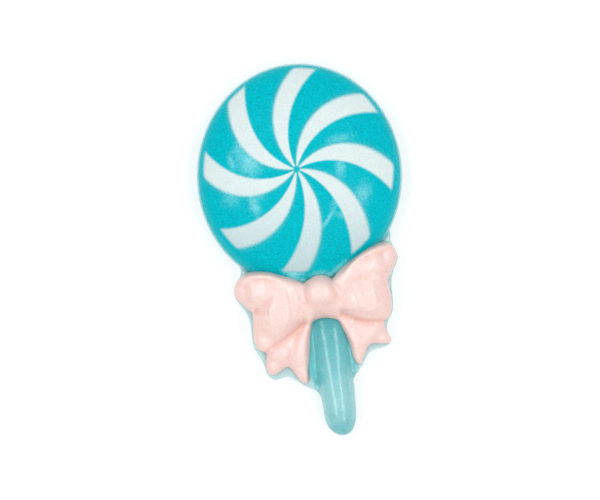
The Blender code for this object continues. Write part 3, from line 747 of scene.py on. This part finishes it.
bow = {
    "cushions": {  # edge outside and near the knot, profile, crest, outline, in mm
        "leftBelly": (2.4, 2.5, 0.62, (
            (-3.18, -2.65, 3.90), (-3.49, -3.48, 4.05), (-3.64, -4.34, 4.10), (-3.87, -5.18, 3.95),
            (-4.31, -5.84, 3.60), (-4.72, -6.34, 3.10),
        ), (
            (-1.02, -2.71), (-1.64, -2.12), (-2.46, -1.73), (-3.30, -1.91), (-3.94, -2.36),
            (-4.46, -3.00), (-4.88, -3.57), (-5.28, -3.98), (-5.60, -4.17), (-5.64, -4.65),
            (-5.75, -5.27), (-5.84, -5.99), (-5.79, -6.64), (-5.55, -7.13), (-5.07, -7.37),
            (-4.38, -7.09), (-3.58, -6.71), (-2.86, -6.31), (-2.23, -5.90), (-1.68, -5.55),
            (-1.13, -5.20), (-0.85, -4.04),
        )),
        "leftEnd": (2.3, 3.0, 0.66, (
            (-1.71, -2.99, 3.60), (-3.06, -2.43, 3.90), (-4.31, -2.17, 3.90), (-5.35, -2.11, 3.60),
            (-5.91, -2.09, 3.10),
        ), (
            (-1.17, -2.65), (-1.86, -2.00), (-2.80, -1.39), (-3.79, -1.01), (-4.81, -0.83),
            (-5.54, -0.91), (-6.17, -1.24), (-6.67, -1.80), (-6.78, -2.42), (-6.45, -3.05),
            (-6.05, -3.52), (-5.76, -3.94), (-5.26, -4.31), (-4.71, -4.41), (-4.12, -4.27),
            (-3.33, -3.92), (-2.32, -3.69), (-1.42, -3.61),
        )),
        "leftRoll": (2.7, 3.2, 0.62, (
            (-5.89, -1.53, 3.30), (-4.89, -1.34, 3.90), (-4.03, -1.49, 4.05), (-3.14, -1.93, 4.00),
            (-2.27, -2.53, 3.70),
        ), (
            (-1.40, -2.60), (-2.17, -1.94), (-2.97, -1.44), (-3.87, -1.04), (-4.82, -0.91),
            (-5.47, -0.96), (-6.09, -1.29), (-6.29, -1.70), (-6.03, -1.87), (-5.45, -1.73),
            (-4.87, -1.67), (-4.24, -1.78), (-3.65, -2.08), (-3.00, -2.48), (-2.34, -2.88),
            (-1.74, -3.15),
        )),
        "rightBelly": (2.4, 2.5, 0.62, (
            (3.47, -3.34, 3.95), (3.50, -4.07, 4.10), (3.48, -4.87, 4.05), (3.37, -5.50, 3.80),
            (3.26, -5.88, 3.40),
        ), (
            (0.91, -3.22), (1.57, -2.69), (2.28, -2.33), (3.12, -2.15), (4.09, -2.16), (4.88, -2.26),
            (5.49, -2.49), (5.65, -2.92), (5.49, -3.62), (5.52, -4.35), (5.50, -5.16), (5.39, -5.78),
            (5.14, -6.27), (4.70, -6.47), (3.91, -6.41), (3.05, -6.22), (2.38, -5.90), (1.79, -5.59),
            (1.29, -5.22), (0.89, -4.75), (0.76, -4.08),
        )),
        "rightEnd": (2.3, 3.0, 0.66, (
            (1.68, -2.94, 3.60), (2.77, -2.25, 3.90), (3.81, -1.82, 4.00), (4.83, -1.56, 3.85),
            (5.50, -1.44, 3.30),
        ), (
            (0.80, -2.95), (1.21, -2.46), (1.74, -1.99), (2.30, -1.56), (2.85, -1.17), (3.60, -0.82),
            (4.38, -0.51), (5.30, -0.31), (5.94, -0.39), (6.35, -0.78), (6.54, -1.34), (6.43, -1.93),
            (6.14, -2.44), (5.82, -2.87), (5.24, -3.41), (4.31, -3.65), (3.42, -3.66), (2.53, -3.66),
            (1.71, -3.76), (1.05, -3.81),
        )),
        "rightRoll": (2.7, 3.2, 0.62, (
            (2.04, -2.32, 3.70), (2.95, -1.67, 4.00), (3.84, -1.19, 4.05), (4.79, -0.87, 3.90),
            (5.62, -0.77, 3.40),
        ), (
            (1.39, -2.57), (2.10, -1.97), (2.77, -1.40), (3.57, -0.94), (4.35, -0.63), (5.28, -0.43),
            (5.91, -0.50), (6.17, -0.87), (5.80, -1.13), (5.05, -1.24), (4.39, -1.36), (3.71, -1.57),
            (3.09, -1.86), (2.35, -2.38), (1.78, -2.84),
        )),
        "knot": (3.2, 3.2, 0.7, (
            (-0.31, -3.27, 4.40), (0.33, -3.30, 4.40),
        ), (
            (-1.41, -3.12), (-1.15, -2.52), (-0.60, -2.18), (0.07, -2.01), (0.72, -2.21), (1.20, -2.74),
            (1.45, -3.35), (1.32, -4.09), (0.78, -4.64), (-0.24, -4.70), (-1.11, -4.39), (-1.45, -3.76),
        )),
        "bridge": (2.4, 2.4, 0.9, (
            (-1.15, -3.55, 3.60), (-0.13, -3.75, 3.90), (1.10, -3.75, 3.60),
        ), (
            (-1.31, -2.99), (1.28, -3.44), (1.51, -4.46), (1.39, -5.32), (1.18, -5.85), (0.72, -5.69),
            (0.11, -5.50), (-0.49, -5.48), (-0.97, -5.64), (-1.31, -5.98), (-1.62, -5.20),
        )),
        "leftTailOuter": (1.8, 1.8, 0.62, (
            (-2.45, -6.26, 2.40), (-3.43, -7.22, 2.80), (-4.18, -7.81, 2.90), (-4.51, -8.32, 2.40),
        ), (
            (-1.49, -5.39), (-2.37, -5.80), (-3.45, -6.42), (-4.33, -6.83), (-4.92, -7.21),
            (-5.08, -7.66), (-5.24, -8.29), (-5.22, -8.89), (-4.97, -9.30), (-4.60, -9.29),
            (-4.12, -9.05), (-3.71, -8.84), (-3.38, -8.77), (-2.83, -8.39), (-2.37, -7.66),
            (-2.05, -6.74), (-1.68, -6.00),
        )),
        "leftTailInner": (1.8, 1.8, 0.62, (
            (-1.49, -5.86, 2.50), (-2.03, -7.06, 2.90), (-2.32, -8.05, 2.90), (-2.35, -9.11, 2.40),
        ), (
            (-1.05, -5.22), (-1.70, -5.67), (-2.54, -6.33), (-3.10, -7.21), (-3.41, -8.04),
            (-3.54, -8.75), (-3.28, -9.12), (-2.98, -9.73), (-2.67, -10.23), (-2.30, -10.46),
            (-2.14, -10.21), (-1.98, -9.34), (-1.77, -8.57), (-1.56, -7.64), (-1.36, -6.70),
            (-1.10, -5.94),
        )),
        "rightTailInner": (1.8, 1.8, 0.62, (
            (1.28, -5.71, 2.50), (1.74, -6.75, 2.90), (2.05, -7.78, 2.85), (2.17, -8.70, 2.40),
        ), (
            (0.81, -5.22), (1.02, -5.83), (1.23, -6.51), (1.46, -7.28), (1.62, -7.96), (1.65, -8.69),
            (1.79, -9.28), (2.01, -9.64), (2.22, -9.60), (2.50, -9.16), (2.88, -8.58), (3.07, -7.97),
            (2.81, -7.20), (2.30, -6.38), (1.71, -5.62),
        )),
        "rightTailOuter": (1.8, 1.8, 0.62, (
            (1.79, -6.04, 2.60), (2.78, -6.86, 2.80), (3.60, -7.24, 2.85), (4.21, -7.68, 2.35),
        ), (
            (1.15, -5.12), (1.73, -5.47), (2.48, -5.84), (3.23, -6.14), (4.03, -6.20), (4.63, -6.46),
            (4.64, -6.87), (4.72, -7.37), (4.94, -7.93), (4.91, -8.33), (4.30, -8.35), (3.68, -8.20),
            (3.19, -8.23), (2.65, -8.54), (2.18, -7.97), (1.77, -7.09), (1.45, -6.15),
        )),
    },
    "folds": (  # how far each is raised or pressed in, how wide it is, and the line that it follows, in mm
        (-0.22, 0.36, ((-5.29, -4.06), (-4.99, -4.19), (-4.59, -4.22))),  # hollow's inner end
        (-0.06, 0.28, (  # inside the right roll
            (3.04, -1.65), (3.71, -1.49), (4.37, -1.40), (5.04, -1.28), (5.71, -1.15),
        )),
        (0.08, 0.30, (  # left belly's inner fold
            (-2.83, -2.95), (-2.77, -3.77), (-2.80, -4.57), (-3.01, -5.34),
        )),
        (0.08, 0.30, ((-4.24, -4.07), (-4.18, -4.65), (-4.30, -5.35))),  # left belly's outer fold
        (0.10, 0.18, ((-1.95, -2.95), (-1.84, -3.29), (-1.89, -3.77))),  # pleat left of the knot
        (0.12, 0.18, ((-1.48, -3.03), (-1.47, -3.44), (-1.47, -3.92))),  # pleat left of the knot, inner
        (0.14, 0.18, ((1.34, -3.04), (1.47, -3.47), (1.60, -3.90))),  # pleat right of the knot
        (0.08, 0.30, (  # right belly's inner fold
            (2.70, -3.12), (2.83, -3.71), (3.04, -4.39), (3.01, -5.03),
        )),
        (0.08, 0.30, (  # right belly's outer fold
            (4.17, -3.46), (4.21, -4.11), (4.21, -4.84), (4.06, -5.46),
        )),
        (0.10, 0.34, ((-4.51, -7.43), (-4.52, -7.91))),  # left tail, outer
        (0.10, 0.30, ((-3.47, -7.45), (-3.51, -7.93))),  # left tail, middle
        (0.30, 0.18, ((2.16, -6.02), (2.18, -6.11))),  # drop on the right tail
        (0.30, 0.18, ((2.15, -6.50), (2.18, -6.59))),  # second drop on the right tail
    ),
    "lineStep": 0.05,  # between places on a fold, in mm
    "lineWidth": 0.05,
    "seat": 1.40 * mm,  # just inside the plate's top
    "outlineStep": 0.12,  # between places on an outline, in mm
    "rings": 8,
    "crestShare": 0.98,  # how near the last ring comes to the crest
    "gatherFrom": 3.0,  # from here inwards the edge rises to its height near the knot, in mm
    "gatherOver": 1.8,
    "voxel": 0.085 * mm,
    "softening": 16,
    "evening": 4,
    "knotCentre": Vector((0.0, -3.45 * mm)),
    "knotReach": 2.2 * mm,
    "knotFacing": 0.35,  # least upward share of the normal
    "knotEvening": 40,  # rounds that blend the knot into the loops
    "creaseRounds": 150,
    "creaseDepth": 0.10 * mm,
    "steep": (0.92, 0.45, 0.8),  # painted shade on steep sides: from this upward share of the normal, fully at this, by how much
    "lowShade": ((2.5, 1.8), 0.8),  # painted shade on the low parts: from this height in mm, fully at this, by how much
    # lit and shaded copies of the pink: the shaded one is painted shade
    "lit": colour(248, 219, 213),
    "folded": colour(244, 199, 190),
    "surface": {
        "Wave Height": 0.03, "Grain Height": 0.005, "Cloud": 0.08, "Speckle": 0.34, "Roughness": 0.30,
    },
    "shader": {
        "Coat Weight": 0.45, "Coat Roughness": 0.20, "Subsurface Weight": 0.4,
        "Subsurface Radius": (0.8, 0.6, 0.5), "Subsurface Scale": 0.5 * mm,
    },
}


def between(before, start, end, after, t):  # a place on the smooth curve from start to end
    return tuple(
        0.5 * (2 * b + (c - a) * t + (2 * a - 5 * b + 4 * c - d) * t * t + (3 * b - a - 3 * c + d) * t ** 3)
        for a, b, c, d in zip(before, start, end, after)
    )


def alongLine(points):  # a smooth line through the points, as closely spaced places
    ends = [points[0], *points, points[-1]]
    for before, start, end, after in zip(ends, ends[1:], ends[2:], ends[3:]):
        count = max(1, int(math.dist(start, end) / bow["lineStep"]))
        for i in range(count):
            yield between(before, start, end, after, i / count)
    yield points[-1]


def closedLoop(points):  # a smooth closed outline through the points
    loop = []
    for number, start in enumerate(points):
        before, end, after = (points[(number + step) % len(points)] for step in (-1, 1, 2))
        count = max(1, round(math.dist(start, end) / bow["outlineStep"]))
        for i in range(count):
            loop.append(between(before, start, end, after, i / count))
    return loop


def nearestOnLine(point, line):  # the nearest place on an open line of 3-D points, seen from above
    best = None
    for start, end in zip(line, line[1:]):
        dx, dy = end[0] - start[0], end[1] - start[1]
        t = ((point[0] - start[0]) * dx + (point[1] - start[1]) * dy) / (dx * dx + dy * dy)
        t = min(1.0, max(0.0, t))
        place = tuple(s + t * (e - s) for s, e in zip(start, end))
        away = math.dist(point, place[:2])
        if best is None or away < best[0]:
            best = (away, place)
    return best[1]


def modelCushion(name):  # a soft form: a wall round the outline, then rings that rise to the crest
    edge, inner, profile, crest, outline = bow["cushions"][name]
    loop = closedLoop(outline)
    cushion = newCircle(name, len(loop), 1.0 * mm, (0, 0, bow["seat"]))
    places = {}  # for each place on the outline, the nearest one on the crest
    around = sorted(cushion.data.vertices, key=lambda v: math.atan2(v.co.y, v.co.x))
    for vert, (x, y) in zip(around, loop):
        vert.co.x, vert.co.y = x * mm, y * mm
        places[tuple(vert.co.xy)] = nearestOnLine((x, y), crest)
    editAll(cushion)
    for ring in range(bow["rings"] + 1):
        bpy.ops.mesh.extrude_region_move(TRANSFORM_OT_translate={"value": (0, 0, mm)})
    bpy.ops.object.mode_set(mode="OBJECT")
    for vert in cushion.data.vertices:
        ring = round((vert.co.z - bow["seat"]) / mm) - 1
        if ring < 0:
            continue
        share = bow["crestShare"] * (1 - math.cos(math.pi / 2 * ring / bow["rings"]))
        x, y = vert.co.x / mm, vert.co.y / mm
        cx, cy, cz = places[tuple(vert.co.xy)]
        gathered = min(1.0, max(0.0, (bow["gatherFrom"] - abs(x)) / bow["gatherOver"]))
        foot = edge + (inner - edge) * gathered * gathered * (3 - 2 * gathered)
        vert.co.x, vert.co.y = (x + (cx - x) * share) * mm, (y + (cy - y) * share) * mm
        vert.co.z = (foot + (cz - foot) * (1 - (1 - share) ** 2) ** profile) * mm
    return cushion


def shownTree(obj):  # finds places on the upper surface as seen from above
    shown = [vert for vert in obj.data.vertices if vert.normal.z > 0.05]
    tree = kdtree.KDTree(len(shown))
    for vert in shown:
        tree.insert((vert.co.x, vert.co.y, 0), vert.index)
    tree.balance()
    return tree


def raiseLine(obj, tree, height, reach, points):  # raises a soft line, or presses it in
    chosen = set()
    for x, y in alongLine(points):
        near = tree.find_range((x * mm, y * mm, 0), bow["lineWidth"] * mm)
        chosen.update(index for place, index, distance in near)
    selectVerts(obj, lambda vert: vert.index in chosen)
    bpy.ops.transform.translate(
        value=(0, 0, height * mm), use_proportional_edit=True,
        proportional_edit_falloff="SMOOTH", proportional_size=reach * mm,
    )
    bpy.ops.object.mode_set(mode="OBJECT")


def modelBow():
    forms = [modelCushion(name) for name in bow["cushions"]]
    body = forms[0]
    body.name = "pinkBow"
    joinInto(body, forms)
    faceOutwards(body)
    remeshAndSoften(body, bow["voxel"], bow["softening"])
    selectVerts(body, lambda vert: vert.normal.z > bow["knotFacing"]
                and (vert.co.xy - bow["knotCentre"]).length < bow["knotReach"])
    bpy.ops.mesh.vertices_smooth(factor=0.5, repeat=bow["knotEvening"])
    bpy.ops.object.mode_set(mode="OBJECT")
    tree = shownTree(body)
    for height, reach, points in bow["folds"]:
        raiseLine(body, tree, height, reach, points)
    editAll(body)
    bpy.ops.mesh.vertices_smooth(factor=0.5, repeat=bow["evening"])
    bpy.ops.object.mode_set(mode="OBJECT")
    return body


def paintCreaseShade(obj):  # an attribute of painted shade that is 1 in hollows and creases, and lower on steep sides
    makeActive(obj)
    bpy.ops.object.duplicate()
    smoothed = bpy.context.object
    softenWith(smoothed, bow["creaseRounds"])
    creaseShade = obj.data.attributes.new("creaseShade", "FLOAT", "POINT")
    gentle, steep, most = bow["steep"]
    for vert, even, mark in zip(obj.data.vertices, smoothed.data.vertices, creaseShade.data):
        depth = (even.co - vert.co).dot(vert.normal) / bow["creaseDepth"]
        slope = min(1.0, max(0.0, (gentle - vert.normal.z) / (gentle - steep)))
        mark.value = min(1.0, max(0.0, depth, most * slope))
    bpy.data.objects.remove(smoothed, do_unlink=True)


def bowMaterial():
    material, tree, shader = newMaterial("pinkResinFinish", bow["shader"])
    # painted shade: the pink darkens and reddens in creases, on steep sides and low down
    creaseShade = tree.nodes.new("ShaderNodeAttribute")
    creaseShade.attribute_name = "creaseShade"
    span, most = bow["lowShade"]
    low = fadeMm(tree, axesOf(tree, objectCoords(tree))["Z"], span, 0.0, most)
    folded = mathStep(tree, "MAXIMUM", creaseShade.outputs["Fac"], low)
    tone = blendColours(tree, folded, bow["lit"], bow["folded"])
    coatWith(tree, shader, tone, bow["surface"])
    return material


ribbon = modelBow()
paintCreaseShade(ribbon)
finishPiece(ribbon, bowMaterial(), "pink_bow")
print("bow ready:", len(ribbon.data.polygons), "faces")


# Table, light and camera

studio = {
    "turn": math.radians(-10),  # the photo shows the piece turned by this much
    "aim": Vector((-0.99 * mm, 0.19 * mm, 1.0 * mm)),
    "distance": 0.5,
    "frameWidth": 48.0 * mm,  # what the picture spans at that distance
    "sensor": 36.0,
    "tableSize": 1.2,
    "tableDrop": 0.01 * mm,
    "table": {
        "Base Color": (0.48, 0.48, 0.48, 1), "Emission Color": (1, 1, 1, 1), "Emission Strength": 0.56,
        "Roughness": 0.9, "Specular IOR Level": 0.1,
    },
    "stripAway": 0.40,
    "stripTilt": math.radians(27),
    "stripSize": (0.045, 0.42),
    "stripPower": 0.40,
    "skyFade": (0.0, 0.9, 0.45, 0.80),  # height above the horizon, then strength there and overhead
}


def layTable():
    deselectAll()
    bpy.ops.mesh.primitive_plane_add(size=studio["tableSize"], location=(0, 0, -studio["tableDrop"]))
    table = bpy.context.object
    table.name = "table"
    bpy.ops.object.transform_apply(location=True)
    table.data.materials.append(newMaterial("tableWhite", studio["table"])[0])


def hangStrip(name, side):  # a long soft lamp to the left or right, turned towards the piece
    data = bpy.data.lights.new(name, "AREA")
    data.shape = "RECTANGLE"
    data.size, data.size_y = studio["stripSize"]
    data.energy = studio["stripPower"]
    lamp = bpy.data.objects.new(name, data)
    scene.collection.objects.link(lamp)
    tilt = Matrix.Rotation(studio["turn"], 4, "Z") @ Matrix.Rotation(side * studio["stripTilt"], 4, "Y")
    away = Matrix.Translation((0, 0, studio["stripAway"]))
    lamp.matrix_world = Matrix.Translation(studio["aim"]) @ tilt @ away


def lightWorld():  # even white, a little darker towards the horizon
    world = bpy.data.worlds.new("studioWhite")
    world.use_nodes = True
    tree = world.node_tree
    background = tree.nodes["Background"]
    background.inputs["Color"].default_value = (1, 1, 1, 1)
    sky = axesOf(tree, tree.nodes.new("ShaderNodeTexCoord").outputs["Generated"])
    tree.links.new(fade(tree, sky["Z"], *studio["skyFade"]), background.inputs["Strength"])
    scene.world = world
    scene.view_settings.view_transform = "Standard"


def setCamera():
    data = bpy.data.cameras.new("camera")
    data.sensor_width = studio["sensor"]
    data.lens = studio["sensor"] * studio["distance"] / studio["frameWidth"]
    data.clip_start, data.clip_end = 0.01, 10.0
    camera = bpy.data.objects.new("camera", data)
    scene.collection.objects.link(camera)
    camera.location = studio["aim"] + Vector((0, 0, studio["distance"]))
    camera.rotation_euler = (0, 0, studio["turn"])
    bpy.context.scene.camera = camera


layTable()
hangStrip("stripLeft", -1)
hangStrip("stripRight", 1)
lightWorld()
setCamera()
print("table, lights and camera ready")
